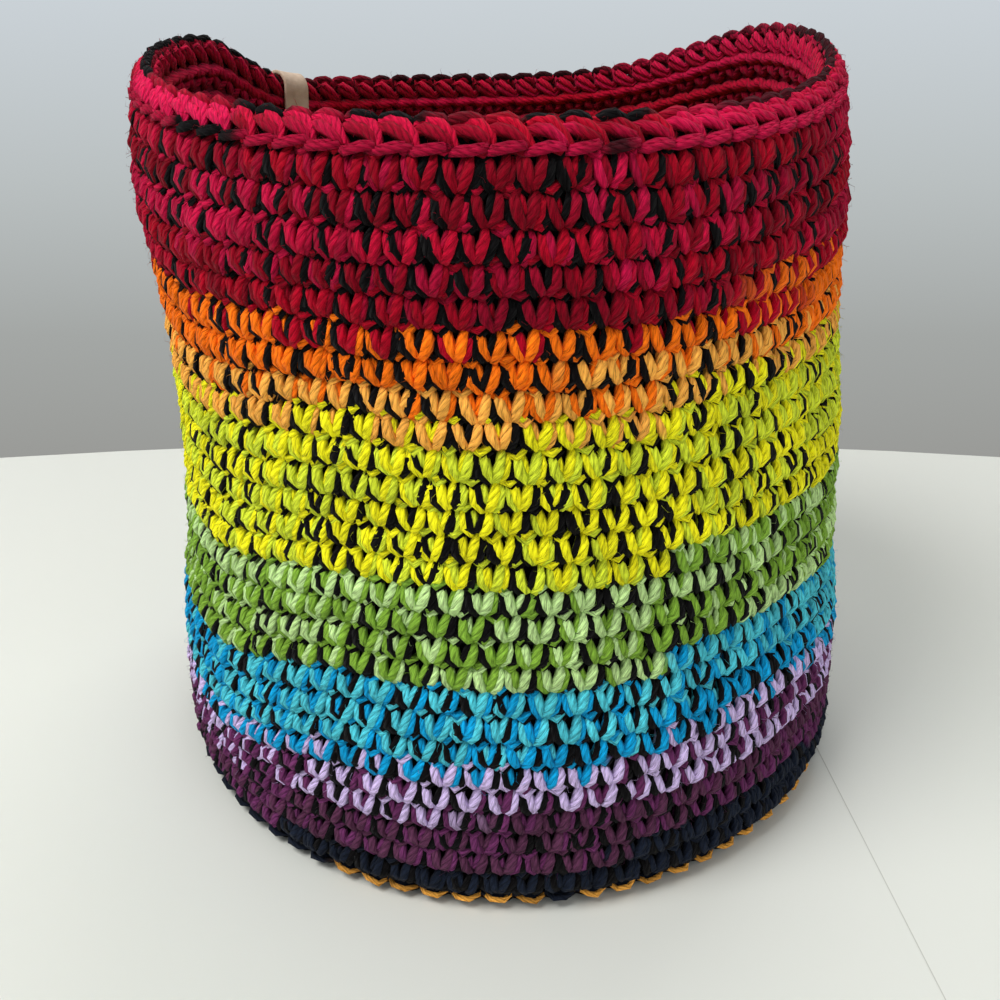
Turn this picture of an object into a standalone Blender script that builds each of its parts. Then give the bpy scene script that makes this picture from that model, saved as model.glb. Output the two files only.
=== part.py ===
"""Crochet bag: a round open bag, worked in rounds from a flat base, with a leather label folded over its rim.

Metres, +Z up, the front towards -Y. The origin is the centre of the flat base.
Azimuth 0 is the front, and it grows towards +X.
"""
import math

import bmesh
import bpy
from mathutils import Vector

# The worked fabric
STITCHES = 78
ROUNDS = 27
STITCH_LEAN = 0.30              # share of a stitch by which each round sits further along
FABRIC_THICKNESS = 0.0090
STITCH_RELIEF = 0.0038          # how far a stitch stands out from the gaps round it

# Radius of the wall's outside, from the base to the mouth
BASE_RADIUS = 0.1456
BELLY_RADIUS = 0.1406
WAIST_RADIUS = 0.1354
CHEST_RADIUS = 0.1272
COLLAR_RADIUS = 0.1271
MOUTH_RADIUS = 0.1224
BELLY_HEIGHT = 0.0660
WAIST_HEIGHT = 0.0946
CHEST_HEIGHT = 0.1900
COLLAR_HEIGHT = 0.2330
MOUTH_DRIFT = -0.0083           # the soft mouth leans sideways, towards -X
DRIFT_START = 0.1230

# The rim dips at the back and rises at each side
FRONT_HEIGHT = 0.2620
BACK_HEIGHT = 0.2500
EAR_FRONT_SPREAD = math.radians(47)
LEFT_EAR_RISE = 0.0175
LEFT_EAR_AZIMUTH = math.radians(-107)
LEFT_EAR_BACK_SPREAD = math.radians(16.5)
RIGHT_EAR_RISE = 0.0215
RIGHT_EAR_AZIMUTH = math.radians(110)
RIGHT_EAR_BACK_SPREAD = math.radians(34)
RIM_CHAIN_HEIGHT = 0.0075
RIM_CREST_WIDTH = 0.0026

# The base and its turned edge
BASE_EDGE_HEIGHT = 0.0075
BASE_EDGE_TUCK = 0.0065         # how far the flat underside stays inside the wall
INNER_ROWS = 10
INNER_ROW_GROWTH = 1.6          # rows inside lie closer together near the rim, where the wall curves
INNER_CORNER = 0.0100           # how far the floor's corner is cut off, inside

# The leather label, folded over the rim at the back left
LABEL_AZIMUTH = math.radians(-132)
LABEL_WIDTH = 0.0130
LABEL_DROP_INSIDE = 0.0230
LABEL_DROP_OUTSIDE = 0.0200
LABEL_THICKNESS = 0.0014
LABEL_CLEARANCE = 0.0008
LABEL_COLUMNS = 5
LABEL_ROWS = 8
LABEL_FOLD_STEPS = 8

# First round of each colour, its name, and the colour itself
BANDS = (
    (0, "navy_yarn", (0.020, 0.016, 0.045)),
    (2, "plum_yarn", (0.090, 0.014, 0.070)),
    (5, "lavender_yarn", (0.420, 0.260, 0.560)),
    (7, "sky_yarn", (0.015, 0.240, 0.500)),
    (10, "leaf_yarn", (0.120, 0.250, 0.040)),
    (13, "yellow_yarn", (0.750, 0.680, 0.025)),
    (18, "peach_yarn", (0.800, 0.370, 0.080)),
    (19, "orange_yarn", (0.850, 0.130, 0.010)),
    (22, "crimson_yarn", (0.420, 0.008, 0.040)),
)


def make_material(name, colour, roughness):
    """A plain Principled material."""
    material = bpy.data.materials.new(name)
    material.use_nodes = True
    shader = material.node_tree.nodes["Principled BSDF"]
    shader.inputs["Base Color"].default_value = (*colour, 1.0)
    shader.inputs["Roughness"].default_value = roughness
    shader.inputs["Metallic"].default_value = 0.0
    material.diffuse_color = (*colour, 1.0)
    return material


def smooth_step(share):
    """0 below 0, 1 above 1, with a soft turn at both ends."""
    share = min(max(share, 0.0), 1.0)
    return share * share * (3.0 - 2.0 * share)


def through_points(points, x):
    """A smooth curve through (x, value) points, held level past both ends."""
    x = min(max(x, points[0][0]), points[-1][0])
    index = max(i for i in range(len(points) - 1) if points[i][0] <= x)
    (x0, v0), (x1, v1) = points[index], points[index + 1]
    before = points[max(index - 1, 0)]
    after = points[min(index + 2, len(points) - 1)]
    span = x1 - x0
    t = (x - x0) / span
    slope0 = (v1 - before[1]) / (x1 - before[0]) * span
    slope1 = (after[1] - v0) / (after[0] - x0) * span
    return (v0 * (2 * t**3 - 3 * t**2 + 1) + slope0 * (t**3 - 2 * t**2 + t)
            + v1 * (3 * t**2 - 2 * t**3) + slope1 * (t**3 - t**2))


def ear(azimuth, ear_azimuth, rise, back_spread):
    """How much one side's ear lifts the rim: a long slope to the front, a short one to the back."""
    past = math.remainder(azimuth - ear_azimuth, math.tau) * math.copysign(1.0, ear_azimuth)
    spread = back_spread if past > 0 else EAR_FRONT_SPREAD
    return rise * math.exp(-(past / spread) ** 2)


def rim_height(azimuth):
    """Top of the rim: level at the front, raised in an ear at each side, low at the back."""
    middle = (FRONT_HEIGHT + BACK_HEIGHT) / 2
    tilt = (FRONT_HEIGHT - BACK_HEIGHT) / 2
    left = ear(azimuth, LEFT_EAR_AZIMUTH, LEFT_EAR_RISE, LEFT_EAR_BACK_SPREAD)
    right = ear(azimuth, RIGHT_EAR_AZIMUTH, RIGHT_EAR_RISE, RIGHT_EAR_BACK_SPREAD)
    return middle + tilt * math.cos(azimuth) + left + right


def wall_radius(height):
    """Outside radius of the wall at a height."""
    return through_points((
        (0.0, BASE_RADIUS),
        (BELLY_HEIGHT, BELLY_RADIUS),
        (WAIST_HEIGHT, WAIST_RADIUS),
        (CHEST_HEIGHT, CHEST_RADIUS),
        (COLLAR_HEIGHT, COLLAR_RADIUS),
        (FRONT_HEIGHT, MOUTH_RADIUS),
    ), height)


def on_bag(azimuth, height, inward):
    """A point at an azimuth and a height, inward from the wall's outside."""
    radius = wall_radius(height) - inward
    drift = MOUTH_DRIFT * smooth_step((height - DRIFT_START) / (FRONT_HEIGHT - DRIFT_START))
    return Vector((drift + radius * math.sin(azimuth), -radius * math.cos(azimuth), height))


def wall_top(azimuth):
    """Height of the last round, under the rim chain."""
    return rim_height(azimuth) - RIM_CHAIN_HEIGHT


def ring_azimuth(index, round_number):
    """Azimuth of a stitch in a round."""
    return math.tau * (index + STITCH_LEAN * round_number) / STITCHES


def clear_scene():
    for item in list(bpy.data.objects):
        bpy.data.objects.remove(item, do_unlink=True)


def bag_rings():
    """The rings of the fabric from the underside's edge up the outside, over the rim and down the inside.

    Each is (round number, point at an azimuth, colour of the band below it, whether that band is stitched).
    """
    rings = [(0, lambda a: on_bag(a, BASE_EDGE_HEIGHT, STITCH_RELIEF), 0, True)]
    for number in range(1, ROUNDS + 1):
        share = number / ROUNDS

        def on_round(azimuth, share=share):
            height = BASE_EDGE_HEIGHT + share * (wall_top(azimuth) - BASE_EDGE_HEIGHT)
            return on_bag(azimuth, height, STITCH_RELIEF)

        rings.append((number, on_round, number, True))
    crest_outside = (FABRIC_THICKNESS - RIM_CREST_WIDTH) / 2
    crest_inside = (FABRIC_THICKNESS + RIM_CREST_WIDTH) / 2
    rings.append((ROUNDS + 1, lambda a: on_bag(a, rim_height(a), crest_outside), ROUNDS, True))
    rings.append((ROUNDS + 1, lambda a: on_bag(a, rim_height(a), crest_inside), ROUNDS, False))
    corner_height = FABRIC_THICKNESS + INNER_CORNER
    for number in range(INNER_ROWS + 1):
        share = (number / INNER_ROWS) ** INNER_ROW_GROWTH

        def on_inside(azimuth, share=share):
            height = wall_top(azimuth) + share * (corner_height - wall_top(azimuth))
            return on_bag(azimuth, height, FABRIC_THICKNESS)

        rings.append((ROUNDS + 1, on_inside, round(ROUNDS * (1 - share)), False))
    floor_inset = FABRIC_THICKNESS + INNER_CORNER
    rings.append((ROUNDS + 1, lambda a: on_bag(a, FABRIC_THICKNESS, floor_inset), 0, False))
    return rings


def band_index(round_number):
    """Which colour band a round belongs to."""
    return max(i for i, band in enumerate(BANDS) if band[0] <= round_number)


def make_fabric():
    """The bag's one worked piece: every stitch of the wall stands out as a bump of its own."""
    mesh = bmesh.new()
    stitch = mesh.verts.layers.int.new("stitch")
    circle = bmesh.ops.create_circle(mesh, cap_ends=True, segments=STITCHES, radius=BASE_RADIUS)["verts"]
    for index, vert in enumerate(circle):
        vert[stitch] = index
        vert.co = on_bag(ring_azimuth(index, 0), 0.0, BASE_EDGE_TUCK)
    edges = list(mesh.edges)
    stitched = []
    for round_number, point_at, colour_round, is_stitched in bag_rings():
        geometry = bmesh.ops.extrude_edge_only(mesh, edges=edges)["geom"]
        for item in geometry:
            if isinstance(item, bmesh.types.BMVert):
                item.co = point_at(ring_azimuth(item[stitch], round_number))
            elif isinstance(item, bmesh.types.BMFace):
                item.material_index = band_index(colour_round)
                stitched.extend([item] if is_stitched else [])
        edges = [item for item in geometry if isinstance(item, bmesh.types.BMEdge) and item.is_boundary]
    bmesh.ops.edgeloop_fill(mesh, edges=edges)
    bmesh.ops.recalc_face_normals(mesh, faces=mesh.faces)
    bmesh.ops.poke(mesh, faces=stitched, offset=STITCH_RELIEF)
    return mesh


def make_label():
    """The label's strip: down the inside, over the rim and down the outside, clear of the fabric."""
    mesh = bmesh.new()
    half_angle = LABEL_WIDTH / 2 / wall_radius(FRONT_HEIGHT)
    half_fabric = FABRIC_THICKNESS / 2
    bmesh.ops.create_grid(mesh, x_segments=LABEL_COLUMNS - 1, size=0.5,
                          y_segments=2 * LABEL_ROWS + LABEL_FOLD_STEPS)
    for vert in mesh.verts:
        azimuth = LABEL_AZIMUTH + 2 * half_angle * vert.co.x
        step = (vert.co.y + 0.5) * (2 * LABEL_ROWS + LABEL_FOLD_STEPS)
        top = rim_height(azimuth) - half_fabric
        if step < LABEL_ROWS:
            height = top - LABEL_DROP_INSIDE * (1 - step / LABEL_ROWS)
            inward = FABRIC_THICKNESS + LABEL_CLEARANCE
        elif step <= LABEL_ROWS + LABEL_FOLD_STEPS:
            turn = math.pi * (step - LABEL_ROWS) / LABEL_FOLD_STEPS
            height = top + (half_fabric + LABEL_CLEARANCE) * math.sin(turn)
            inward = half_fabric + (half_fabric + LABEL_CLEARANCE) * math.cos(turn)
        else:
            height = top - LABEL_DROP_OUTSIDE * (step - LABEL_ROWS - LABEL_FOLD_STEPS) / LABEL_ROWS
            inward = -LABEL_CLEARANCE
        vert.co = on_bag(azimuth, height, inward)
    bmesh.ops.recalc_face_normals(mesh, faces=mesh.faces)
    return mesh


def add_object(name, mesh, materials, collection, parent):
    data = bpy.data.meshes.new(name)
    mesh.to_mesh(data)
    mesh.free()
    for material in materials:
        data.materials.append(material)
    item = bpy.data.objects.new(name, data)
    collection.objects.link(item)
    item.parent = parent
    return item


def main():
    clear_scene()
    collection = bpy.data.collections.new("crochet_tote_bag")
    bpy.context.scene.collection.children.link(collection)
    base_centre = bpy.data.objects.new("base_centre", None)
    collection.objects.link(base_centre)
    yarns = [make_material(name, colour, 0.9) for _, name, colour in BANDS]
    add_object("crochet_bag", make_fabric(), yarns, collection, base_centre)
    leather = make_material("tan_leather", (0.55, 0.40, 0.28), 0.6)
    label = add_object("label", make_label(), [leather], collection, base_centre)
    thickness = label.modifiers.new("leather", "SOLIDIFY")
    thickness.thickness = LABEL_THICKNESS
    thickness.offset = -1.0


main()
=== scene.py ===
"""Looks of the crochet bag: its yarn strand by strand, the leather label, the stage and the camera.

Metres, +Z up, the front towards -Y. Azimuth 0 is the front, and it grows towards +X.
"""
import math

import bpy
import numpy as np
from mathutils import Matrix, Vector


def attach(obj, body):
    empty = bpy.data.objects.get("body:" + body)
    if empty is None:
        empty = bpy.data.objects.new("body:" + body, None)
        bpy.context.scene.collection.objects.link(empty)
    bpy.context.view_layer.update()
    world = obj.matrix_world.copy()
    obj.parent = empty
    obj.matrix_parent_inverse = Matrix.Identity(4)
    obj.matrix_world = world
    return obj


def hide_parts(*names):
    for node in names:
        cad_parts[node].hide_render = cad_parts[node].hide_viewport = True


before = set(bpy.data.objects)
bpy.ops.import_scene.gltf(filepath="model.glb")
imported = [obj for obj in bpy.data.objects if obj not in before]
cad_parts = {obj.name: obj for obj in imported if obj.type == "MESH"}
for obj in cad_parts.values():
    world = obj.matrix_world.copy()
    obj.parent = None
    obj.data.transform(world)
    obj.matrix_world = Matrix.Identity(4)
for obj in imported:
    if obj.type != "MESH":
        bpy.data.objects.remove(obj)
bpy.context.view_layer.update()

random = np.random.default_rng(27)
TURN = 2 * math.pi

# The bag's own sizes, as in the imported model
STITCHES = 78
ROUNDS = 27
STITCH_LEAN = 0.30
FABRIC_THICKNESS = 0.0090
RADIUS_AT_HEIGHT = ((0.0, 0.1456), (0.0660, 0.1406), (0.0946, 0.1354), (0.1900, 0.1272),
                    (0.2330, 0.1271), (0.2620, 0.1224))
MOUTH_RADIUS = RADIUS_AT_HEIGHT[-1][1]
MOUTH_DRIFT = -0.0083
DRIFT_START = 0.1230
FRONT_HEIGHT = 0.2620
BACK_HEIGHT = 0.2500
EAR_FRONT_SPREAD = math.radians(47)
EARS = (                        # azimuth, rise, spread towards the back
    (math.radians(-107), 0.0175, math.radians(16.5)),
    (math.radians(110), 0.0215, math.radians(34)),
)
RIM_CHAIN_HEIGHT = 0.0075
BASE_EDGE_HEIGHT = 0.0075
BASE_EDGE_TUCK = 0.0065

# The leather label, folded over the rim at the back left
LABEL_AZIMUTH = math.radians(-132)
LABEL_WIDTH = 0.0130
LABEL_DROP_INSIDE = 0.0230
LABEL_DROP_OUTSIDE = 0.0200
LABEL_THICKNESS = 0.0014
LABEL_CLEARANCE = 0.0012
LABEL_PRESS = 0.0036            # how far it presses the rim's strands down
LABEL_PRESS_FADE = 0.9          # how fast that fades, for each label width away
LABEL_EDGE = 0.0003

# Yarn
STRAND_SIDES = (5, 5, 3)
STRAND_RADIUS = 0.00136
PAINTED_SIDE_SHADE = 0.45               # painted shade: how much darker a strand is painted where it turns into the fabric
PLIES = 5
PLY_LENGTH = 0.0150             # one full twist of the plies

# Colours, as linear values
BLACK = (0.0032, 0.0026, 0.0030)
NAVY = (0.0085, 0.0125, 0.024)
DARK_PLUM = (0.092, 0.026, 0.062)
PLUM = (0.130, 0.026, 0.098)
LAVENDER = (0.620, 0.480, 0.780)
SKY = (0.004, 0.330, 0.650)
TURQUOISE = (0.080, 0.560, 0.660)
LEAF = (0.210, 0.390, 0.040)
PALE_GREEN = (0.500, 0.720, 0.280)
YELLOW = (0.900, 0.840, 0.012)
LIME = (0.660, 0.760, 0.035)
PEACH = (0.950, 0.430, 0.070)
ORANGE = (0.980, 0.180, 0.006)
CRIMSON = (0.390, 0.0014, 0.015)
DEEP_RED = (0.210, 0.0008, 0.010)
PINK = (0.530, 0.0060, 0.058)

# Where each coloured strand changes, in rounds of yarn from the base edge
STRIPES_A = ((0.0, NAVY), (1.2, PLUM), (5.2, SKY), (8.97, LEAF),
             (12.975, YELLOW), (18.975, ORANGE), (20.86, CRIMSON))
STRIPES_B = ((0.0, NAVY), (1.1, DARK_PLUM), (3.35, LAVENDER), (6.0, TURQUOISE), (8.97, PALE_GREEN),
             (12.975, LIME), (17.975, PEACH), (20.3, ORANGE), (21.9, DEEP_RED))
STRIPE_LEAD = 0.33              # in front, the stripes start this many rounds lower
LEAD_START, LEAD_START_SPREAD = -2.6, 0.8       # azimuths where that lead comes in, at the back left
LEAD_END, LEAD_END_SPREAD = 0.1, 0.35           # and where it goes out, right of the front
STRIPE_BLEND = 0.03             # rounds of yarn over which one colour runs into the next


def smooth_step(share):
    share = np.clip(share, 0.0, 1.0)
    return share * share * (3.0 - 2.0 * share)


def wall_radius(height):
    """Outside radius of the wall at each height, on a smooth curve through the named points."""
    points = np.array(RADIUS_AT_HEIGHT)
    x = np.clip(height, points[0, 0], points[-1, 0])
    index = np.clip(np.searchsorted(points[:, 0], x, side="right") - 1, 0, len(points) - 2)
    before = points[np.maximum(index - 1, 0)]
    start = points[index]
    end = points[index + 1]
    after = points[np.minimum(index + 2, len(points) - 1)]
    span = end[..., 0] - start[..., 0]
    t = (x - start[..., 0]) / span
    slope0 = (end[..., 1] - before[..., 1]) / (end[..., 0] - before[..., 0]) * span
    slope1 = (after[..., 1] - start[..., 1]) / (after[..., 0] - start[..., 0]) * span
    return (start[..., 1] * (2 * t**3 - 3 * t**2 + 1) + slope0 * (t**3 - 2 * t**2 + t)
            + end[..., 1] * (3 * t**2 - 2 * t**3) + slope1 * (t**3 - t**2))


def rim_height(azimuth):
    """Top of the rim: level at the front, raised in an ear at each side, low at the back."""
    height = (FRONT_HEIGHT + BACK_HEIGHT) / 2 + (FRONT_HEIGHT - BACK_HEIGHT) / 2 * np.cos(azimuth)
    for ear_azimuth, rise, back_spread in EARS:
        past = np.mod(azimuth - ear_azimuth + math.pi, TURN) - math.pi
        past = past * math.copysign(1.0, ear_azimuth)
        spread = np.where(past > 0, back_spread, EAR_FRONT_SPREAD)
        height = height + rise * np.exp(-(past / spread) ** 2)
    return height


def on_bag(azimuth, height, outward):
    """Points at an azimuth and a height, outward from the wall's outside."""
    radius = wall_radius(height) + outward
    drift = MOUTH_DRIFT * smooth_step((height - DRIFT_START) / (FRONT_HEIGHT - DRIFT_START))
    return np.stack([drift + radius * np.sin(azimuth), -radius * np.cos(azimuth),
                     height + 0 * azimuth], axis=-1)


# How far the rounds sag on each side of the bag: the azimuth where it starts, its spread, and its share
SAGS = ((-1, math.radians(22), math.radians(33), 1.0), (1, math.radians(45), math.radians(25), 0.6))
SAG_AT_ROUND = ((0.0, 1.7), (10.0, 1.7), (13.0, 1.4), (18.0, 1.0), (22.0, 0.3), (27.0, 0.0))
SAG_TUCK = 6.0                  # rounds at the foot of the wall that are squeezed where the others sag
SAG_END, SAG_END_SPREAD = 1.6, 1.2              # radians from the front where the sag fades out


def sag(azimuth, round_number):
    """How many rounds the wall's rounds hang lower at its sides, where its foot curls under."""
    turn = np.mod(azimuth + math.pi, TURN) - math.pi
    share = 0.0
    for side, start, spread, amount in SAGS:
        away = turn * side
        fade = 1 - smooth_step((away - SAG_END) / SAG_END_SPREAD)
        share = share + amount * smooth_step((away - start) / spread) * fade
    rounds, amounts = zip(*SAG_AT_ROUND)
    return share * np.interp(round_number, rounds, amounts)


def round_height(azimuth, round_number):
    """Height of a round: spaced from the base edge to the rim chain, and lower where the wall sags."""
    top = rim_height(azimuth) - RIM_CHAIN_HEIGHT
    level = round_number - sag(azimuth, round_number) * smooth_step(round_number / SAG_TUCK)
    return BASE_EDGE_HEIGHT + level / ROUNDS * (top - BASE_EDGE_HEIGHT)


def to_azimuth(stitch):
    """Azimuth of a place along a round, in stitches from the back."""
    return stitch * TURN / STITCHES - math.pi


def on_wall(stitch, round_number, outward):
    """Points on the wall, from a place along the round in stitches, a round, and a distance outward."""
    azimuth = to_azimuth(stitch)
    return on_bag(azimuth, round_height(azimuth, round_number), outward)


def stripe_colour(stripes, place):
    """Colour of a strand at a place along its yarn, in rounds."""
    colour = np.broadcast_to(np.array(stripes[0][1]), place.shape + (3,)).copy()
    for start, value in stripes[1:]:
        share = smooth_step((place - start) / STRIPE_BLEND + 0.5)[..., None]
        colour = colour * (1 - share) + np.array(value) * share
    return colour


def add_object(name, data):
    item = bpy.data.objects.new(name, data)
    bpy.context.scene.collection.objects.link(item)
    return item


def paint(mesh, colours):
    """Gives each point of a mesh its yarn colour."""
    attribute = mesh.color_attributes.new("yarn", "FLOAT_COLOR", "POINT")
    rgba = np.concatenate([colours, np.ones((len(colours), 1))], axis=1)
    attribute.data.foreach_set("color", rgba.astype(np.float32).ravel())


def grid_faces(rows, columns):
    """Quads between neighbouring rows of points."""
    return [(r * columns + c, r * columns + c + 1, (r + 1) * columns + c + 1, (r + 1) * columns + c)
            for r in range(rows - 1) for c in range(columns - 1)]


def plain_material(name, colour=(0.8, 0.8, 0.8), roughness=0.5):
    material = bpy.data.materials.new(name)
    material.use_nodes = True
    shader = material.node_tree.nodes["Principled BSDF"]
    shader.inputs["Base Color"].default_value = (*colour, 1)
    shader.inputs["Roughness"].default_value = roughness
    return material


class YarnMesh:
    """Collects tubes of yarn, and turns them into one mesh with a colour and a UV map along the strand."""

    def __init__(self):
        self.points = []
        self.faces = []
        self.uvs = []
        self.colours = []
        self.count = 0

    def add_tube(self, path, normal, colour, radius, sides=4, flat=0.95, closed=True):
        """path, normal and colour are (n, 3); radius is one value or (n,)."""
        count = len(path)
        if closed:
            tangent = np.roll(path, -1, axis=0) - np.roll(path, 1, axis=0)
        else:
            tangent = np.gradient(path, axis=0)
        tangent /= np.linalg.norm(tangent, axis=1, keepdims=True) + 1e-12
        across = np.cross(normal, tangent)
        across /= np.linalg.norm(across, axis=1, keepdims=True) + 1e-12
        out = np.cross(tangent, across)
        angle = np.arange(sides) * TURN / sides - TURN / 4
        radius = np.broadcast_to(radius, (count,))[:, None, None]
        ring = (path[:, None] + radius * (np.cos(angle)[None, :, None] * across[:, None]
                                          + flat * np.sin(angle)[None, :, None] * out[:, None]))
        step = np.linalg.norm(np.roll(path, -1, axis=0) - path, axis=1)
        along = np.concatenate([[0.0], np.cumsum(step)]) / PLY_LENGTH
        rows = np.arange(count if closed else count - 1)
        here, there = rows[:, None] * sides, (rows[:, None] + 1) % count * sides
        corner = np.arange(sides)[None]
        beside = (corner + 1) % sides
        quads = np.stack([here + corner, here + beside, there + beside, there + corner], axis=-1).reshape(-1, 4)
        around = np.broadcast_to(np.arange(sides) / sides, (len(rows), sides))
        start = np.broadcast_to(along[rows][:, None], (len(rows), sides))
        end = np.broadcast_to(along[rows + 1][:, None], (len(rows), sides))
        uv = np.stack([np.stack([start, around], -1), np.stack([start, around + 1 / sides], -1),
                       np.stack([end, around + 1 / sides], -1), np.stack([end, around], -1)], axis=2)
        self.points.append(ring.reshape(-1, 3))
        self.faces.append(quads + self.count)
        self.uvs.append(uv.reshape(-1, 2))
        # Painted shade: the colour darkens towards the strand's sides that turn into the fabric, standing in
        # for the shade between strands.
        shade = PAINTED_SIDE_SHADE + (1 - PAINTED_SIDE_SHADE) * smooth_step(0.5 + 0.8 * np.sin(angle))
        self.colours.append((colour[:, None] * shade[None, :, None]).reshape(-1, 3))
        self.count += count * sides

    def build(self, name, material):
        points = np.concatenate(self.points)
        faces = np.concatenate(self.faces)
        mesh = bpy.data.meshes.new(name)
        mesh.vertices.add(len(points))
        mesh.vertices.foreach_set("co", points.astype(np.float32).ravel())
        mesh.loops.add(faces.size)
        mesh.loops.foreach_set("vertex_index", faces.astype(np.int32).ravel())
        mesh.polygons.add(len(faces))
        mesh.polygons.foreach_set("loop_start", np.arange(0, faces.size, 4, dtype=np.int32))
        mesh.update(calc_edges=True)
        mesh.uv_layers.new(name="strand")
        mesh.uv_layers["strand"].data.foreach_set("uv", np.concatenate(self.uvs).astype(np.float32).ravel())
        paint(mesh, np.concatenate(self.colours))
        mesh.shade_smooth()
        mesh.materials.append(material)
        return add_object(name, mesh)


# One stitch of the wall: along in stitches, up in rounds, outward in millimetres, spread, thickness
STITCH_PATH = np.array([
    (0.19, 1.02, -3.2, 0.75, 0.80),     # top of the left leg
    (0.23, 0.76, -1.0, 0.95, 1.02),
    (0.29, 0.45, -0.3, 1.00, 1.15),
    (0.42, 0.15, -1.4, 0.80, 0.95),     # foot of the left leg
    (0.51, -0.08, -4.6, 0.40, 0.80),    # through the fabric
    (0.58, 0.14, -1.3, 0.80, 0.95),     # foot of the right leg
    (0.71, 0.43, -0.1, 1.00, 1.18),
    (0.79, 0.74, -0.8, 0.95, 1.08),
    (0.81, 1.02, -3.2, 0.75, 0.80),     # top of the right leg
    (0.99, 1.02, -2.4, 0.85, 0.85),     # the front loop, seen between two stitches of the next round
    (1.18, 0.98, -0.9, 0.95, 1.00),
    (1.38, 1.18, -1.8, 0.85, 0.90),
    (1.31, 1.06, -4.9, 0.40, 0.80),
])
LEFT_LEG, HOLE, RIGHT_LEG, LOOP = slice(0, 4), 4, slice(5, 9), slice(9, 12)
MILLIMETRE = 0.001
MEAN_RADIUS = 0.130             # of the wall, from which a stitch gets its width
STITCH_WIDTH = TURN * MEAN_RADIUS / STITCHES
ROUND_HEIGHT = (FRONT_HEIGHT - RIM_CHAIN_HEIGHT - BASE_EDGE_HEIGHT) / ROUNDS

# How three strands share a leg, for strands a, b and the black one:
# towards the middle of the stitch and outward, in millimetres, and thickness
LEFT_ORDERS = np.array([
    [(0.9, 0.0, 1.25), (-1.3, 0.1, 0.95), (-2.9, -0.9, 0.95)],
    [(-0.5, 0.0, 1.35), (1.5, -1.0, 0.90), (-2.7, -0.5, 0.95)],
    [(-1.0, 0.0, 1.15), (1.1, -0.1, 1.15), (0.0, -2.0, 0.90)],
    [(0.3, 0.0, 1.30), (-1.7, -1.2, 0.90), (-2.1, 0.1, 1.05)],
    [(1.1, -0.2, 1.20), (0.0, -2.0, 0.90), (-1.2, 0.3, 1.15)],
    [(-1.8, -0.3, 1.05), (1.8, -0.5, 1.05), (0.0, 0.2, 1.00)],
])
RIGHT_ORDERS = np.array([
    [(0.6, 0.0, 1.35), (-1.5, 0.0, 0.95), (-3.0, -0.4, 1.15)],
    [(-0.3, 0.0, 1.35), (1.5, -0.8, 0.95), (-2.6, -0.1, 1.15)],
    [(-1.1, 0.0, 1.15), (1.1, 0.0, 1.15), (0.0, -2.0, 0.90)],
    [(0.8, 0.0, 1.30), (0.0, -2.0, 0.90), (-1.4, 0.3, 1.15)],
    [(-0.9, 0.1, 1.25), (0.4, -2.0, 0.90), (1.4, 0.1, 0.95)],
    [(1.9, -0.4, 1.05), (-1.7, -0.3, 1.05), (0.0, 0.2, 1.05)],
])
# How often each order is drawn, where the black strand lies back and where it lies forward
SHARES_PLAIN = np.array([0.34, 0.26, 0.20, 0.10, 0.05, 0.05])
SHARES_BLACK = np.array([0.18, 0.14, 0.02, 0.28, 0.22, 0.16])
BLACK_FORWARD = 0.50            # how far the black strand lies forward, and how much that wanders
BLACK_WANDER = 0.7
BLACK_ROUNDS = {14: 0.9, 16: 0.6, 6: 0.4, 12: 0.2, 20: 0.3, 25: 0.3}    # rounds where it lies further forward
SWAP_LEVEL = 0.15               # strand b takes strand a's place where a slow noise lies above this
PALE_ROUNDS = (3, 4, 17, 18, 19)                # rounds where it does so more often
PALE_SWAP_LEVEL = -0.25
# How they share the front loop
LOOP_ORDERS = np.array([
    [(0.7, 0.2, 1.10), (0.0, -1.9, 0.90), (-1.5, 0.0, 0.85)],
    [(0.0, -1.9, 0.90), (0.7, 0.2, 1.10), (-1.5, 0.0, 0.85)],
    [(1.1, 0.1, 1.10), (-1.1, -0.1, 1.10), (0.0, -1.9, 0.90)],
    [(-1.1, -0.1, 1.10), (0.0, -1.9, 0.90), (1.1, 0.1, 0.85)],
])
LOOP_SHARES = np.array([0.38, 0.28, 0.20, 0.14])


def slow_noise(count, knots):
    """A smooth closed run of random values from -1 to 1."""
    values = random.uniform(-1, 1, knots)
    values = np.concatenate([values, values[:1]])
    return np.interp(np.arange(count) / count * knots, np.arange(knots + 1), values)


def uneven(whole, point, steps):
    """Random shifts of whole stitches and of each of their points."""
    return random.normal(0, whole, (STITCHES, 1)) + random.normal(0, point, (STITCHES, steps))


def across_path(flat, whole):
    """Unit vectors across a closed path on the flattened wall; whole is the length of a round."""
    ahead = np.roll(flat, -1, axis=0) - np.roll(flat, 1, axis=0)
    ahead[:, 0] = (ahead[:, 0] + whole / 2) % whole - whole / 2
    ahead /= np.linalg.norm(ahead, axis=1, keepdims=True)
    return np.stack([-ahead[:, 1], ahead[:, 0]], axis=1)


def with_normals(place, stitch, up, outward):
    """The points that a placing function gives, and the direction outward at each."""
    points = place(stitch, up, outward)
    normal = place(stitch, up, outward + MILLIMETRE) - points
    return points, normal / np.linalg.norm(normal, axis=1, keepdims=True)


def shaded(colour, amount, count):
    """The colour with a little change in brightness from place to place."""
    return colour * (1 + amount * random.uniform(-1, 1, (count, 1)))


def mixed(first, second, share):
    return first + (np.asarray(second) - first) * share


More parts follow.
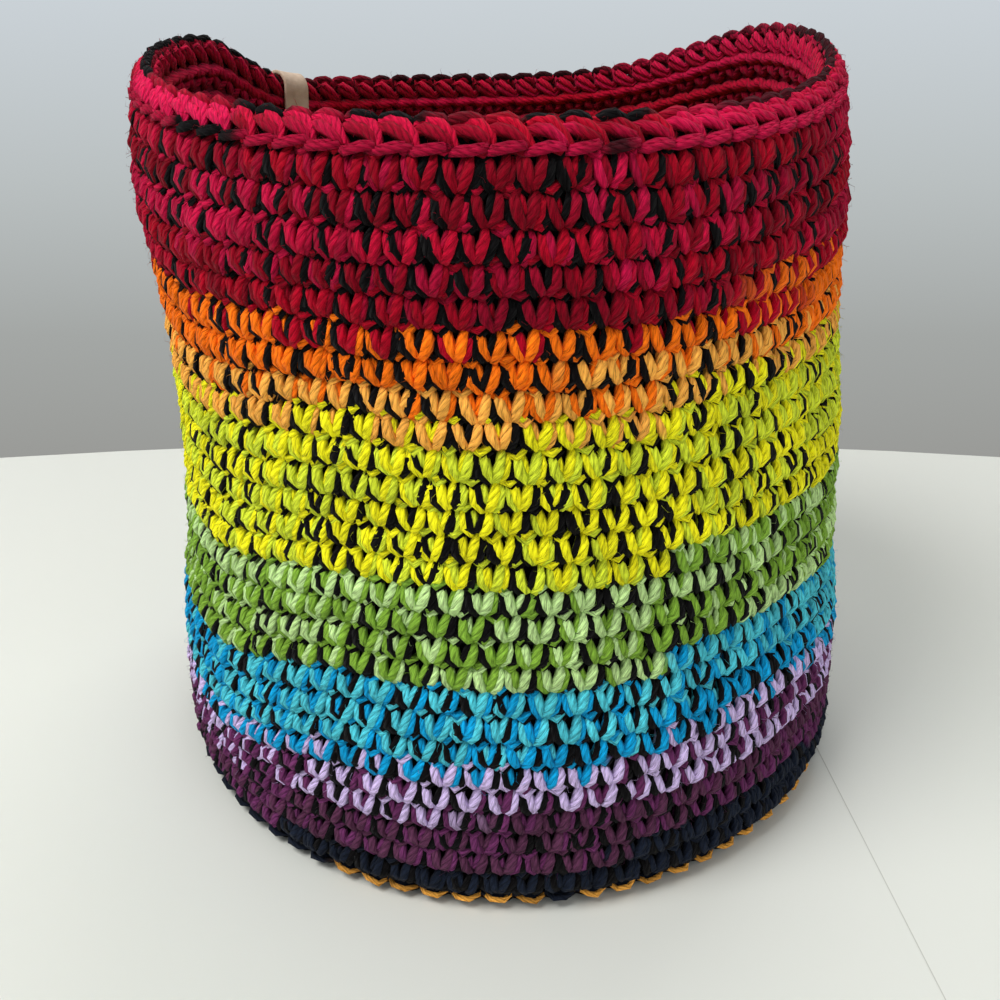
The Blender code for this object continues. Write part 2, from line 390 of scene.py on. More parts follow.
def strand_colour(strand, round_number, stitch):
    """Colour of strand 0, 1 or 2 (the black one) along a round."""
    count = len(stitch)
    if strand == 2:
        return shaded(np.broadcast_to(np.array(BLACK), (count, 3)), 0.25, count)
    azimuth = to_azimuth(stitch)
    lead = STRIPE_LEAD * (1 - smooth_step((azimuth - LEAD_END) / LEAD_END_SPREAD))
    lead = lead * smooth_step((azimuth - LEAD_START) / LEAD_START_SPREAD)
    place = round_number - azimuth / TURN + lead
    place = place + sag(azimuth, round_number) * (1 - smooth_step(round_number / SAG_TUCK))
    colour = stripe_colour((STRIPES_A, STRIPES_B)[strand], place)
    red = smooth_step(place - RED_START)[:, None]
    drift = np.interp(place * RED_RUNS, np.arange(len(RED_DRIFT[strand])), RED_DRIFT[strand])[:, None]
    other = np.where(drift > 0, np.array(PINK), np.array(DEEP_RED))
    colour = colour + (other - colour) * red * np.abs(drift)
    return shaded(colour, 0.07, count)


RED_START = 21.6                # rounds of yarn above which the red changes
RED_RUNS = 11                   # changes of red along each round
RED_DRIFT = random.uniform(-1, 1, (2, (ROUNDS + 2) * RED_RUNS))


def add_wall_round(yarn, round_number):
    """One round of single crochet, as three strands that run on from stitch to stitch."""
    steps = len(STITCH_PATH)
    path = np.tile(STITCH_PATH, (STITCHES, 1)).reshape(STITCHES, steps, 5).copy()
    path[..., 0] += np.arange(STITCHES)[:, None]
    path[..., 0] += uneven(0.030, 0.014, steps)
    path[..., 1] += uneven(0.030, 0.016, steps)
    path[..., 1] += 0.06 * slow_noise(STITCHES, 9)[:, None]
    path[..., 2] += uneven(0.16, 0.08, steps)
    path[..., 2] += 0.5 * slow_noise(STITCHES, 7)[:, None]
    black_forward = BLACK_FORWARD + BLACK_ROUNDS.get(round_number, 0.0)
    black_forward = np.clip(black_forward + BLACK_WANDER * slow_noise(STITCHES, 11), 0, 1)
    orders = np.zeros((STITCHES, steps, 3, 3))
    swapped = slow_noise(STITCHES, 17) > (PALE_SWAP_LEVEL if round_number in PALE_ROUNDS else SWAP_LEVEL)
    for index in range(STITCHES):
        shares = SHARES_PLAIN + (SHARES_BLACK - SHARES_PLAIN) * black_forward[index]
        left = LEFT_ORDERS[random.choice(len(LEFT_ORDERS), p=shares / shares.sum())]
        right = RIGHT_ORDERS[random.choice(len(RIGHT_ORDERS), p=shares / shares.sum())]
        if swapped[index]:
            left, right = left[[1, 0, 2]], right[[1, 0, 2]]
        orders[index, LEFT_LEG] = left
        orders[index, RIGHT_LEG] = right
        orders[index, HOLE] = (left + right) / 2
        orders[index, LOOP] = LOOP_ORDERS[random.choice(len(LOOP_ORDERS), p=LOOP_SHARES)]
        orders[index, -1, :, 2] = 1.0
    path = path.reshape(-1, 5)
    orders = orders.reshape(-1, 3, 3)
    flat = path[:, :2] * (STITCH_WIDTH, ROUND_HEIGHT)
    side = across_path(flat, STITCHES * STITCH_WIDTH)
    lean = STITCH_LEAN * round_number
    brightness = np.repeat(random.uniform(0.86, 1.14, STITCHES), steps)[:, None]
    for strand in range(3):
        sideways = orders[:, strand, :1] * path[:, 3:4] * MILLIMETRE
        place = flat + side * sideways
        stitch = place[:, 0] / STITCH_WIDTH + lean
        level = round_number + place[:, 1] / ROUND_HEIGHT
        outward = (path[:, 2] + orders[:, strand, 1] * path[:, 3]) * MILLIMETRE
        points, normal = with_normals(on_wall, stitch, level, outward)
        radius = STRAND_RADIUS * path[:, 4] * orders[:, strand, 2] * (1 + random.normal(0, 0.04, len(path)))
        colour = strand_colour(strand, round_number, stitch % STITCHES) * brightness
        yarn.add_tube(points, normal, colour, radius, sides=STRAND_SIDES[strand])


def rope(yarn, steps, count, place, colours, spacing, jitter=0.02, thickness=1.0, sides=4):
    """Strands that repeat one short path along a round.

    steps are (along in stitches, up, outward, spread, thickness), up and outward in millimetres;
    place turns (stitch, up, outward) in metres into points; colours gives each strand's colours.
    """
    steps = np.array(steps)
    path = np.tile(steps, (count, 1)).reshape(count, len(steps), 5).copy()
    path[..., 0] += np.arange(count)[:, None] + random.normal(0, jitter, (count, len(steps)))
    path[..., 1:3] += random.normal(0, 6 * jitter, (count, len(steps), 2))
    path = path.reshape(-1, 5)
    width = STITCH_WIDTH / MILLIMETRE
    flat = path[:, :2] * (width, 1.0)
    side = across_path(flat, count * width)
    for strand, (sideways, outward_shift) in enumerate(spacing):
        spot = flat + side * sideways * path[:, 3:4]
        stitch = spot[:, 0] / width
        outward = path[:, 2] + outward_shift * path[:, 3]
        points, normal = with_normals(place, stitch, spot[:, 1] * MILLIMETRE, outward * MILLIMETRE)
        radius = STRAND_RADIUS * thickness * path[:, 4]
        yarn.add_tube(points, normal, colours(strand, stitch), radius, sides=sides)


RIM_CHAIN_TILT = math.radians(42)
RIM_CHAIN_DEPTH = 0.0030
RIM_CHAIN_DROP = 0.0040
RIM_BRIGHTNESS = 1.2
RIM_TOP_BRIGHTNESS = 0.6
RIM_INSET = 0.0020              # how far the strands inside lie in the fabric, at the rim and below it
INSIDE_INSET = 0.0018
# The chain along the rim: each link's thick upper arm, its thin front arm, and the strand along its top
RIM_CHAIN = (
    (-0.12, 1.6, -1.6, 0.30, 0.90),
    (0.10, 3.0, 0.0, 0.85, 1.15),
    (0.42, 2.8, 1.1, 1.00, 1.38),
    (0.76, 1.5, 1.4, 1.00, 1.38),
    (1.08, -0.5, 1.0, 0.70, 1.15),
    (1.24, -2.3, 0.0, 0.30, 0.95),
    (0.96, -2.2, -2.6, 0.20, 0.80),
)
RIM_FRONT = (
    (-0.02, -3.6, -1.4, 0.3, 0.85),
    (0.25, -3.8, 0.4, 1.0, 1.00),
    (0.65, -3.3, 0.9, 1.0, 1.05),
    (1.05, -2.5, 0.8, 0.7, 1.00),
    (1.26, -2.0, -0.6, 0.3, 0.85),
)
RIM_TOP = (
    (0.00, 3.8, -0.4, 0.0, 1.05),
    (0.16, 4.4, 0.7, 0.0, 1.18),
    (0.36, 4.8, 1.4, 0.0, 1.27),
    (0.60, 4.7, 1.6, 0.0, 1.28),
    (0.82, 4.3, 1.3, 0.0, 1.18),
    (0.95, 3.9, 0.5, 0.0, 1.05),
)
# Where the rim's top strand and its front arms are black, its upper arms bright pink, and the loops of the
# base's edge pale: degrees, share
TOP_BLACK = (
    (-180, 0.9), (-155, 0.9), (-150, 0.3), (-143, 0.3), (-132, 1.0), (-64, 1.0), (-61, 0.0), (-37, 0.0),
    (-35, 1.0), (-27, 1.0), (-25, 0.0), (-18, 0.1), (-17, 1.0), (-8, 1.0), (-6, 0.5), (-2, 0.6), (0, 0.0),
    (4, 0.1), (5, 1.0), (21, 1.0), (23, 0.0), (31, 0.0), (34, 0.8), (60, 0.9), (98, 0.9), (106, 0.1),
    (125, 0.7), (132, 0.1), (148, 0.1), (156, 0.9), (180, 0.9),
)
FRONT_BLACK = ((-48, 0.0), (-46, 1.0), (-34, 1.0), (-32, 0.0), (14, 0.0), (15, 0.9), (18, 0.9), (19, 0.0))
UPPER_PINK = (
    (-72, 0.0), (-68, 1.0), (-36, 1.0), (-34, 0.0), (-30, 0.1), (-20, 0.5), (-16, 0.1), (23, 0.0),
    (26, 0.6), (32, 0.6), (36, 0.0),
)
EDGE_PALE = ((-28, 0.0), (-26, 0.8), (-10, 1.0), (58, 1.0), (62, 0.0))
# The back of that chain, seen inside the rim as thick slanting strands
RIM_BACK = (
    (-0.10, -7.6, 0.2, 0.80, 1.00),
    (0.25, -5.4, 1.1, 1.00, 1.15),
    (0.65, -2.9, 1.0, 1.00, 1.15),
    (0.95, -1.4, -0.8, 0.50, 1.00),
    (0.45, -4.0, -2.8, 0.10, 0.80),
)
# The inside of a round: a slanting bar and, under it, short upright bars
INSIDE_BAR = (
    (0.00, 6.9, 0.2, 1.0, 1.0),
    (0.35, 6.5, 0.9, 1.0, 1.1),
    (0.75, 5.9, 0.6, 1.0, 1.0),
)
INSIDE_UPRIGHT = (
    (0.00, 0.4, -1.4, 0.6, 0.9),
    (0.22, 2.8, 0.3, 1.0, 1.0),
    (0.45, 5.0, -0.8, 0.8, 0.9),
    (0.72, 2.6, 0.0, 1.0, 1.0),
)
# The turned edge of the base: a slanting black strand, with a short pale loop over each stitch
EDGE_ROPE = (
    (0.05, 4.1, -0.6, 0.7, 1.0),
    (0.40, 3.3, 0.3, 1.0, 1.2),
    (0.80, 2.6, 0.0, 1.0, 1.15),
    (1.10, 2.6, -1.8, 0.5, 0.9),
)
EDGE_LOOP = (
    (0.05, 4.6, -1.4, 0.5, 0.85),
    (0.32, 4.3, 1.9, 1.0, 1.00),
    (0.68, 3.6, 2.0, 1.0, 1.05),
    (0.96, 3.5, -0.8, 0.5, 0.85),
)


def run_share(runs, stitch):
    """The share that a table of (degrees, share) gives at each stitch."""
    degrees, shares = np.array(runs).T
    return np.interp(np.degrees(to_azimuth(stitch % STITCHES)), degrees, shares)[:, None]


def label_press(azimuth):
    """How far the folded label presses the rim's strands down."""
    away = np.abs(azimuth - LABEL_AZIMUTH) * MOUTH_RADIUS / LABEL_WIDTH
    return LABEL_PRESS * (1 - smooth_step(away * LABEL_PRESS_FADE))


def on_rim(stitch, up, outward):
    """Points about the rim's outer shoulder, in a frame that tilts back over the rim."""
    azimuth = to_azimuth(stitch)
    cos, sin = math.cos(RIM_CHAIN_TILT), math.sin(RIM_CHAIN_TILT)
    height = rim_height(azimuth) - RIM_CHAIN_DROP - label_press(azimuth) + up * cos + outward * sin
    return on_bag(azimuth, height, -RIM_CHAIN_DEPTH - up * sin + outward * cos)


def inside_rim(stitch, up, outward):
    """Points inside the rim; outward grows towards the middle of the bag."""
    azimuth = to_azimuth(stitch)
    return on_bag(azimuth, rim_height(azimuth) + up, -FABRIC_THICKNESS + RIM_INSET - outward)


def add_rim(yarn):
    def plain(strand, stitch):
        return strand_colour(strand, ROUNDS, stitch % STITCHES) * RIM_BRIGHTNESS

    def upper(strand, stitch):
        return mixed(plain(strand, stitch), np.array(PINK) * RIM_BRIGHTNESS, run_share(UPPER_PINK, stitch))

    def front(strand, stitch):
        return mixed(mixed(plain(1, stitch), PINK, 0.5), BLACK, run_share(FRONT_BLACK, stitch))

    def top(strand, stitch):
        return mixed(plain(0, stitch) * RIM_TOP_BRIGHTNESS, BLACK, run_share(TOP_BLACK, stitch))

    rope(yarn, RIM_CHAIN, STITCHES, on_rim, upper, ((1.3, 0.0), (-1.3, 0.2)), jitter=0.04, sides=6)
    rope(yarn, RIM_FRONT, STITCHES, on_rim, front, ((0.5, 0.0), (-0.6, 0.1)), jitter=0.04)
    rope(yarn, RIM_TOP, STITCHES, on_rim, top, ((0.0, 0.0),), jitter=0.03, sides=6)
    rope(yarn, RIM_BACK, STITCHES, inside_rim, plain, ((1.2, 0.0), (-1.2, 0.0)))


def add_inside_round(yarn, round_number):
    def inside(stitch, up, outward):
        level = round_number + up / ROUND_HEIGHT
        azimuth = to_azimuth(stitch)
        return on_bag(azimuth, round_height(azimuth, level), -FABRIC_THICKNESS + INSIDE_INSET - outward)

    def bar_colours(strand, stitch):
        return strand_colour(strand, round_number, stitch % STITCHES)

    def upright_colours(strand, stitch):
        return strand_colour(1, round_number, stitch % STITCHES)

    rope(yarn, INSIDE_BAR, STITCHES, inside, bar_colours, ((0.0, 0.0),), thickness=1.7)
    rope(yarn, INSIDE_UPRIGHT, STITCHES, inside, upright_colours, ((0.0, 0.0),), thickness=1.5)


EDGE_LIFT = 0.0004
EDGE_INSET = 0.0024
EDGE_GAPS = 0.08                # share of the pale loops that don't show


def add_base_edge(yarn):
    def edge(stitch, up, outward):
        azimuth = to_azimuth(stitch)
        tuck = np.clip(1 - up / BASE_EDGE_HEIGHT, 0, 1) ** 2 * BASE_EDGE_TUCK
        return on_bag(azimuth, up + EDGE_LIFT, -EDGE_INSET - tuck * 0.5 + outward)

    def dark(strand, stitch):
        colour = (BLACK, NAVY)[strand]
        return shaded(np.broadcast_to(np.array(colour), (len(stitch), 3)), 0.2, len(stitch))

    def pale(strand, stitch):
        colour = np.broadcast_to(np.array(PEACH), (len(stitch), 3)).copy()
        bright = np.repeat(random.uniform(0.65, 1.15, STITCHES), len(stitch) // STITCHES)[:, None]
        shown = np.repeat(random.uniform(0, 1, STITCHES) > EDGE_GAPS, len(stitch) // STITCHES)[:, None]
        navy = shaded(np.array(NAVY), 0.2, len(stitch))
        return mixed(navy, colour * bright, run_share(EDGE_PALE, stitch) * shown)

    rope(yarn, EDGE_ROPE, STITCHES, edge, dark, ((-0.6, 0.0), (1.1, -0.5)))
    rope(yarn, EDGE_LOOP, STITCHES, edge, pale, ((0.0, 0.0),), jitter=0.04, thickness=0.95)


BASE_ROUNDS = 13
BASE_GROWTH = 6                 # stitches that each flat round adds
BASE_TWIST = 0.3                # how far each flat round is turned from the last
BASE_STITCH_HEIGHT = 0.0093
# The flat rounds below and inside: height, which way they face (-1 down, 1 up), radius of the last round
UNDERSIDE = (0.0027, -1, 0.1370)
FLOOR = (0.0090, 1, 0.1345)
BASE_STITCH = (
    (0.20, 7.6, -1.4, 0.8, 0.95),
    (0.35, 3.6, -0.2, 1.0, 1.1),
    (0.50, -0.4, -1.8, 0.5, 0.85),
    (0.68, 3.6, -0.2, 1.0, 1.1),
    (0.80, 7.6, -1.4, 0.8, 0.95),
    (1.00, 8.2, -2.2, 0.6, 0.9),
)


def add_base_rounds(yarn, height, facing, last_radius):
    """Flat rounds, worked from the middle out."""
    pitch = last_radius / BASE_ROUNDS
    for number in range(BASE_ROUNDS):
        count = BASE_GROWTH * (number + 1)

        def disc(stitch, up, outward, number=number, count=count):
            azimuth = stitch * TURN / count + BASE_TWIST * number
            radius = number * pitch + up * pitch / BASE_STITCH_HEIGHT
            return np.stack([radius * np.sin(azimuth), -radius * np.cos(azimuth),
                             height + facing * outward + 0 * azimuth], axis=-1)

        def colours(strand, stitch):
            return shaded(np.broadcast_to(np.array(NAVY), (len(stitch), 3)), 0.3, len(stitch))

        rope(yarn, BASE_STITCH, count, disc, colours, ((0.0, 0.0),), thickness=1.7)


FUZZ_HAIRS = 4000
RIM_HAIR_EVERY = 6              # one hair in so many stands on the rim
RIM_HAIR_OUT = 0.0012
HAIR_RADIUS = 0.00008
RIM_FUZZ = random.uniform(-0.4, 0.7, FUZZ_HAIRS)      # how far up the rim, in rounds, its hairs start


def add_fuzz(yarn):
    """Fine stray hairs that stand off the yarn."""
    stitch = random.uniform(0, STITCHES, FUZZ_HAIRS)
    level = random.uniform(0.3, ROUNDS + 0.6, FUZZ_HAIRS)
    turn = random.uniform(0, TURN, FUZZ_HAIRS)
    length = random.uniform(1.2, 3.6, FUZZ_HAIRS)
    reach = random.uniform(0.6, 3.0, FUZZ_HAIRS)
    share = np.array([0.0, 0.5, 1.0])
    for index in range(FUZZ_HAIRS):
        bend = turn[index] + share * 0.9
        along = stitch[index] + share * length[index] * np.cos(bend) * MILLIMETRE / STITCH_WIDTH
        up = level[index] + share * length[index] * np.sin(bend) * MILLIMETRE / ROUND_HEIGHT
        outward = (0.1 + reach[index] * np.sin(share * 2.2)) * MILLIMETRE
        if index % RIM_HAIR_EVERY:
            number = min(int(level[index]), ROUNDS)
            path, normal = with_normals(on_wall, along, up, outward)
        else:
            number = ROUNDS
            above = (up - up[0] + RIM_FUZZ[index]) * ROUND_HEIGHT
            path, normal = with_normals(on_rim, along, above, outward + RIM_HAIR_OUT)
        colour = strand_colour(index % 2, number, along % STITCHES) * 1.25
        yarn.add_tube(path, normal, colour, HAIR_RADIUS * (1.1 - share), sides=3, flat=1.0, closed=False)


CORE_OUTSIDE = 0.0040
CORE_INSIDE = 0.0062
CORE_BELOW_RIM = 0.0035
CORE_COLUMNS = 156
# Painted shade: the core's inside face takes the yarn colours darkened to this share.
CORE_INSIDE_PAINTED_SHADE = 0.35
# Where the core closes across the base, from below and from inside: height, outward
CORE_UNDERSIDE = ((0.0030, -0.020), (0.0032, -0.0075))
CORE_FLOOR = ((0.0068, -0.012), (0.0066, -0.020))


def add_core(name, finish):
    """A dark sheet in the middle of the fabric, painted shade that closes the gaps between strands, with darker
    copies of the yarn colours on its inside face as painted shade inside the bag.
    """
    azimuth = np.arange(CORE_COLUMNS) * TURN / CORE_COLUMNS - math.pi
    black = np.broadcast_to(np.array(BLACK), (CORE_COLUMNS, 3))
    rows = [on_bag(azimuth, 0 * azimuth + height, outward) for height, outward in CORE_UNDERSIDE]
    rows += [on_bag(azimuth, round_height(azimuth, number), -CORE_OUTSIDE) for number in range(ROUNDS + 1)]
    top = rim_height(azimuth) - CORE_BELOW_RIM
    rows += [on_bag(azimuth, top, -CORE_OUTSIDE), on_bag(azimuth, top, -CORE_INSIDE)]
    # Painted shade: the sheet's outer face and its closings across the base are black, its inside face a
    # darkened copy of the yarn.
    colours = [black] * len(rows)
    for number in range(ROUNDS, 0, -1):
        rows.append(on_bag(azimuth, round_height(azimuth, number), -CORE_INSIDE))
        stitch = (azimuth + math.pi) * STITCHES / TURN
        colours.append(strand_colour(0, number, stitch) * CORE_INSIDE_PAINTED_SHADE)
    rows += [on_bag(azimuth, 0 * azimuth + height, outward) for height, outward in CORE_FLOOR]
    colours += [black] * len(CORE_FLOOR)
    points = np.concatenate(rows)
    quads = []
    for row in range(len(rows) - 1):
        here = row * CORE_COLUMNS + np.arange(CORE_COLUMNS)
        here_next = row * CORE_COLUMNS + (np.arange(CORE_COLUMNS) + 1) % CORE_COLUMNS
        quads.append(np.stack([here, here_next, here_next + CORE_COLUMNS, here + CORE_COLUMNS], axis=-1))
    faces = [list(map(int, quad)) for quad in np.concatenate(quads)]
    faces.append(list(range(CORE_COLUMNS))[::-1])
    faces.append(list(range(len(points) - CORE_COLUMNS, len(points))))
    mesh = bpy.data.meshes.new(name)
    mesh.from_pydata(points.tolist(), [], faces)
    mesh.uv_layers.new(name="strand")
    paint(mesh, np.concatenate(colours))
    mesh.materials.append(finish)
    return add_object(name, mesh)


def leather_material():
    """Tan leather with a fine pebbled grain."""
    material = plain_material("leather", roughness=0.55)
    nodes, links = material.node_tree.nodes, material.node_tree.links
    shader = nodes["Principled BSDF"]
    place = nodes.new("ShaderNodeTexCoord")
    grain = nodes.new("ShaderNodeTexVoronoi")
    grain.inputs["Scale"].default_value = 1400
    cloud = nodes.new("ShaderNodeTexNoise")
    cloud.inputs["Scale"].default_value = 220
    cloud.inputs["Detail"].default_value = 4
    for node in (grain, cloud):
        links.new(place.outputs["Object"], node.inputs["Vector"])
    ramp = nodes.new("ShaderNodeValToRGB")
    ramp.color_ramp.elements[0].color = (0.40, 0.28, 0.19, 1)
    ramp.color_ramp.elements[0].position = 0.25
    ramp.color_ramp.elements[1].color = (0.58, 0.44, 0.32, 1)
    ramp.color_ramp.elements[1].position = 0.7
    links.new(cloud.outputs["Fac"], ramp.inputs["Fac"])
    links.new(ramp.outputs["Color"], shader.inputs["Base Color"])
    bump = nodes.new("ShaderNodeBump")
    bump.inputs["Strength"].default_value = 0.35
    bump.inputs["Distance"].default_value = 0.0002
    links.new(grain.outputs["Distance"], bump.inputs["Height"])
    links.new(bump.outputs["Normal"], shader.inputs["Normal"])
    return material


def add_label(finish):
    """The strip of leather folded over the rim, with its print left off."""
    columns, leg_rows, fold_rows = 9, 14, 12
    rows = 2 * leg_rows + fold_rows
    x, y = np.meshgrid(np.linspace(-1, 1, columns), np.arange(rows + 1), indexing="xy")
    azimuth = LABEL_AZIMUTH + x * LABEL_WIDTH / 2 / MOUTH_RADIUS
    top = rim_height(azimuth) - FABRIC_THICKNESS / 2
    reach = FABRIC_THICKNESS / 2 + LABEL_CLEARANCE
    turn = np.clip((y - leg_rows) / fold_rows, 0, 1) * math.pi
    inside_drop = LABEL_DROP_INSIDE * np.clip(1 - y / leg_rows, 0, 1)
    outside_drop = LABEL_DROP_OUTSIDE * np.clip((y - leg_rows - fold_rows) / leg_rows, 0, 1)
    height = top + reach * np.sin(turn) - inside_drop - outside_drop
    outward = -FABRIC_THICKNESS / 2 - reach * np.cos(turn)
    points = on_bag(azimuth, height, outward).reshape(-1, 3)
    mesh = bpy.data.meshes.new("leather_label")
    mesh.from_pydata(points.tolist(), [], grid_faces(rows + 1, columns))
    mesh.materials.append(finish)
    mesh.shade_smooth()
    item = add_object("leather_label", mesh)
    thickness = item.modifiers.new("thickness", "SOLIDIFY")
    thickness.thickness = LABEL_THICKNESS
    thickness.offset = -1.0
    edge = item.modifiers.new("edge", "BEVEL")
    edge.width = LABEL_EDGE
    edge.segments = 2
    return item


def yarn_material():
    """Soft plied yarn: twisted plies and loose fibres, from the strand's own UV map."""
    material = plain_material("yarn", roughness=0.8)
    nodes, links = material.node_tree.nodes, material.node_tree.links
    shader = nodes["Principled BSDF"]
    shader.inputs["Specular IOR Level"].default_value = 0.06
    shader.inputs["Sheen Weight"].default_value = 0.03
    shader.inputs["Sheen Roughness"].default_value = 0.5
    attribute = nodes.new("ShaderNodeVertexColor")
    attribute.layer_name = "yarn"
    uv = nodes.new("ShaderNodeUVMap")
    uv.uv_map = "strand"
    split = nodes.new("ShaderNodeSeparateXYZ")
    links.new(uv.outputs["UV"], split.inputs["Vector"])

    def maths(operation, first, second):
        node = nodes.new("ShaderNodeMath")
        node.operation = operation
        for socket, value in zip(node.inputs, (first, second)):
            if isinstance(value, (int, float)):
                socket.default_value = value
            else:
                links.new(value, socket)
        return node.outputs[0]

    along, around = split.outputs["X"], split.outputs["Y"]
    twist = maths("SUBTRACT", around, along)
    ply = maths("ABSOLUTE", maths("COSINE", maths("MULTIPLY", twist, PLIES * math.pi), 0.0), 0.0)
    combine = nodes.new("ShaderNodeCombineXYZ")
    slanted = maths("ADD", twist, maths("MULTIPLY", along, 0.25))
    links.new(maths("MULTIPLY", slanted, 34.0), combine.inputs["X"])
    links.new(maths("MULTIPLY", along, 7.0), combine.inputs["Y"])
    fibre = nodes.new("ShaderNodeTexNoise")
    fibre.inputs["Scale"].default_value = 1.0
    fibre.inputs["Detail"].default_value = 3.0
    links.new(combine.outputs["Vector"], fibre.inputs["Vector"])
    height = maths("ADD", maths("MULTIPLY", ply, 0.7), maths("MULTIPLY", fibre.outputs["Fac"], 0.8))
    bump = nodes.new("ShaderNodeBump")
    bump.inputs["Strength"].default_value = 0.9
    bump.inputs["Distance"].default_value = 0.0006
    links.new(height, bump.inputs["Height"])
    links.new(bump.outputs["Normal"], shader.inputs["Normal"])
    # The base colour is scaled by painted shade in the grooves between the plies, and by fibre streaks that are
    # partly the yarn's own uneven tone and partly painted highlight and shade.
    ply_shade_fibre_tone_and_glint = maths("ADD", maths("MULTIPLY", ply, 0.38), maths("MULTIPLY", fibre.outputs["Fac"], 2.5))
    ply_shade_fibre_tone_and_glint = maths("SUBTRACT", ply_shade_fibre_tone_and_glint, 0.44)
    shade = nodes.new("ShaderNodeVectorMath")
    shade.operation = "SCALE"
    links.new(attribute.outputs["Color"], shade.inputs[0])
    links.new(ply_shade_fibre_tone_and_glint, shade.inputs["Scale"])
    links.new(shade.outputs["Vector"], shader.inputs["Base Color"])
    return material


def dress(piece, slot, *nodes):
    """Makes a piece ride on the bag, and hides the imported parts that it stands for; slot is not used."""
    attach(piece, "root")
    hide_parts(*nodes)


CAMERA_PLACE = (-0.0044, -0.39, 0.2977)
CAMERA_TILT = math.radians(28.2)                # how far it looks down
CAMERA_LENS = 36.0
CAMERA_SENSOR = 36.0


def add_camera():
    data = bpy.data.cameras.new("camera")
    data.lens = CAMERA_LENS
    data.sensor_width = CAMERA_SENSOR
    data.clip_start = 0.01
    camera = add_object("camera", data)
    camera.location = CAMERA_PLACE
    camera.rotation_euler = (math.radians(90) - CAMERA_TILT, 0.0, 0.0)
    bpy.context.scene.camera = camera


def add_lamp(name, place, target, size, power):
    data = bpy.data.lights.new(name, "AREA")
    data.shape = "DISK"
    data.size = size
    data.energy = power
    lamp = add_object(name, data)
    lamp.location = place
    direction = np.array(target) - np.array(place)
    lamp.rotation_euler = Vector(direction).to_track_quat("-Z", "Y").to_euler()


def add_light():
    add_lamp("key", (-0.9, -0.5, 1.8), (0, 0, 0.1), 0.9, 29)
    add_lamp("fill", (1.2, -1.2, 1.2), (0, 0, 0.1), 1.4, 7)
    add_lamp("back", (0.3, 1.0, 1.6), (0, 0, 0.1), 1.0, 14)
    world = bpy.data.worlds.new("studio")
    bpy.context.scene.world = world
    world.use_nodes = True
    world.node_tree.nodes["Background"].inputs["Color"].default_value = (0.93, 0.96, 1.0, 1)
    world.node_tree.nodes["Background"].inputs["Strength"].default_value = 0.42


TABLE_COLOUR = (0.725, 0.735, 0.675)
TABLE_REACH = 1.8               # to each side
TABLE_NEAR = -1.6
TABLE_EDGE = 0.252              # where the table ends behind the bag
TABLE_EDGE_BOW = 0.055          # how much nearer it ends half a metre to the side
TABLE_EDGE_STEPS = ((0.0, 0.0), (0.004, -0.0015), (0.005, -0.006), (0.005, -0.04))      # past the edge, up
TABLE_COLUMNS = 48
TABLE_JOINT = ((0.126, 0.02), (0.1435, -0.215))     # a fine line across the table top, at the right
TABLE_JOINT_WIDTH = 0.0004
TABLE_JOINT_COLOUR = (0.52, 0.52, 0.47)
# The wall behind, as heights and colours, and the rectangle it fills
BACKDROP = ((-0.40, (0.31, 0.31, 0.295)), (-0.16, (0.37, 0.385, 0.375)), (0.05, (0.49, 0.525, 0.53)),
            (0.28, (0.60, 0.65, 0.69)))
BACKDROP_CORNERS = ((-2.5, 0.95, -1.2), (2.5, 0.95, -1.2), (2.5, 0.95, 1.6), (-2.5, 0.95, 1.6))


def stage_piece(name, points, faces, material):
    mesh = bpy.data.meshes.new(name)
    mesh.from_pydata(points, [], faces)
    mesh.shade_smooth()
    mesh.materials.append(material)
    item = add_object(name, mesh)


def add_table():
    """A pale table whose far edge bows a little and turns down."""
    x = np.linspace(-TABLE_REACH, TABLE_REACH, TABLE_COLUMNS)
    edge = TABLE_EDGE - TABLE_EDGE_BOW * (x / 0.5) ** 2
    rows = [(0 * x + TABLE_NEAR, 0 * x)] + [(edge + past, 0 * x + up) for past, up in TABLE_EDGE_STEPS]
    points = [(float(px), float(py), float(pz)) for y, z in rows for px, py, pz in zip(x, y, z)]
    material = plain_material("table", TABLE_COLOUR, 0.6)
    stage_piece("table", points, grid_faces(len(rows), TABLE_COLUMNS), material)


def add_table_joint():
    """The fine line across the table top."""
    start, end = np.array(TABLE_JOINT)
    half = np.array([0.5 * TABLE_JOINT_WIDTH, 0.0])
    corners = [start - half, start + half, end + half, end - half]
    points = [(float(px), float(py), 0.0001) for px, py in corners]
    stage_piece("table_joint", points, [(0, 1, 2, 3)], plain_material("table_joint", TABLE_JOINT_COLOUR))


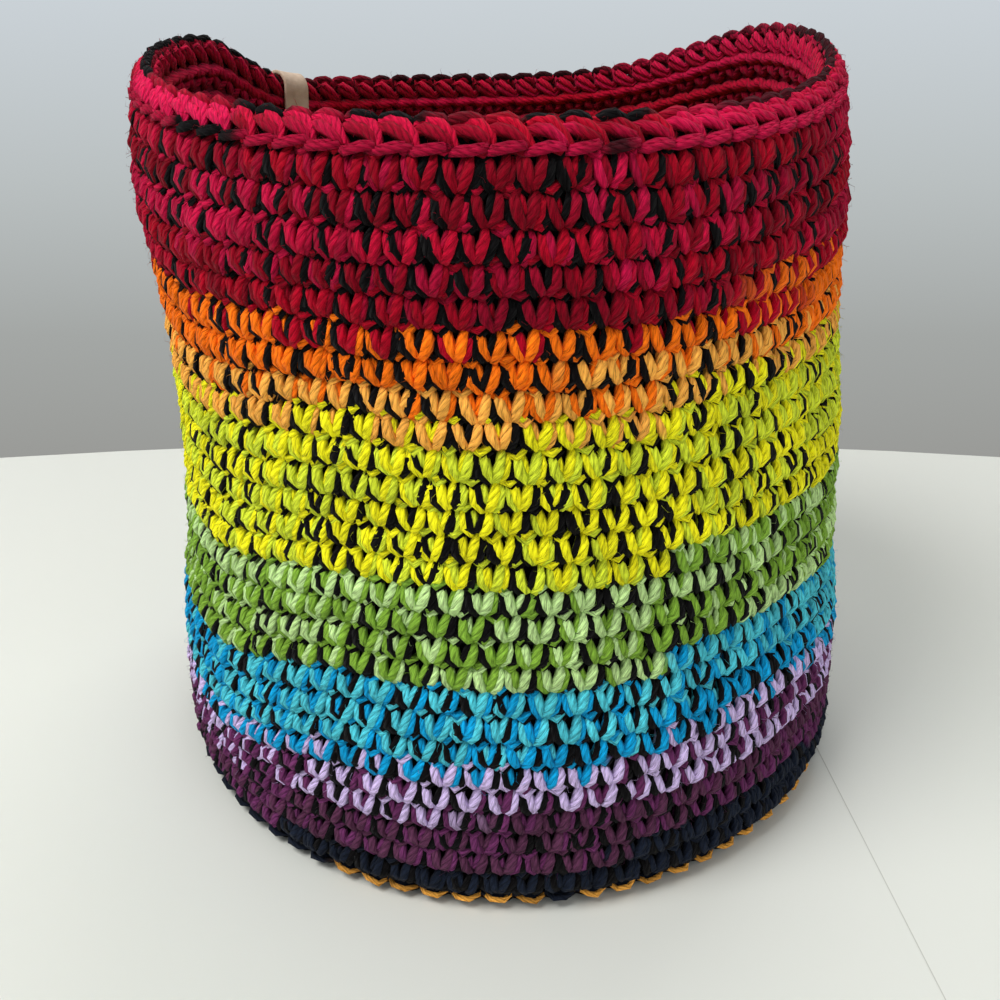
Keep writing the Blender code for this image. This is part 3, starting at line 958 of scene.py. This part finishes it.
def add_backdrop():
    """A wall that glows evenly to the camera, lighter towards the top."""
    material = plain_material("wall", (0.6, 0.6, 0.6))
    nodes, links = material.node_tree.nodes, material.node_tree.links
    shader = nodes["Principled BSDF"]
    place = nodes.new("ShaderNodeTexCoord")
    split = nodes.new("ShaderNodeSeparateXYZ")
    links.new(place.outputs["Object"], split.inputs["Vector"])
    low, high = BACKDROP[0][0], BACKDROP[-1][0]
    scale = nodes.new("ShaderNodeMapRange")
    scale.inputs["From Min"].default_value = low
    scale.inputs["From Max"].default_value = high
    links.new(split.outputs["Z"], scale.inputs["Value"])
    ramp = nodes.new("ShaderNodeValToRGB")
    for height, colour in BACKDROP:
        place_on_ramp = (height - low) / (high - low)
        if height == low:
            element = ramp.color_ramp.elements[0]
        elif height == high:
            element = ramp.color_ramp.elements[-1]
        else:
            element = ramp.color_ramp.elements.new(place_on_ramp)
        element.position = place_on_ramp
        element.color = (*colour, 1)
    links.new(scale.outputs["Result"], ramp.inputs["Fac"])
    glow = nodes.new("ShaderNodeEmission")
    links.new(ramp.outputs["Color"], glow.inputs["Color"])
    seen = nodes.new("ShaderNodeLightPath")
    mix = nodes.new("ShaderNodeMixShader")
    links.new(seen.outputs["Is Camera Ray"], mix.inputs[0])
    links.new(shader.outputs[0], mix.inputs[1])
    links.new(glow.outputs[0], mix.inputs[2])
    links.new(mix.outputs[0], nodes["Material Output"].inputs["Surface"])
    stage_piece("wall", BACKDROP_CORNERS, [(0, 1, 2, 3)], material)


ROUNDS_A_PIECE = 6
add_camera()
add_light()
add_table()
add_table_joint()
add_backdrop()
yarn_finish = yarn_material()
core = add_core("painted_shade_core", yarn_finish)
dress(core, "yarn", "crochet_bag")
for first in range(0, ROUNDS, ROUNDS_A_PIECE):
    wall = YarnMesh()
    for number in range(first, min(first + ROUNDS_A_PIECE, ROUNDS)):
        add_wall_round(wall, number)
    dress(wall.build(f"wall_rounds_{first + 1}", yarn_finish), "yarn", "crochet_bag")
inside = YarnMesh()
for number in range(ROUNDS - 1, 0, -1):
    add_inside_round(inside, number)
dress(inside.build("inside_of_rounds", yarn_finish), "yarn", "crochet_bag")
rim = YarnMesh()
add_rim(rim)
add_base_edge(rim)
dress(rim.build("rim_and_base_edge", yarn_finish), "yarn", "crochet_bag")
fuzz = YarnMesh()
add_fuzz(fuzz)
dress(fuzz.build("loose_hairs", yarn_finish), "yarn", "crochet_bag")
base = YarnMesh()
add_base_rounds(base, *UNDERSIDE)
add_base_rounds(base, *FLOOR)
dress(base.build("base_rounds", yarn_finish), "yarn", "crochet_bag")
dress(add_label(leather_material()), "leather", "label")
bpy.context.scene.view_settings.view_transform = "Standard"
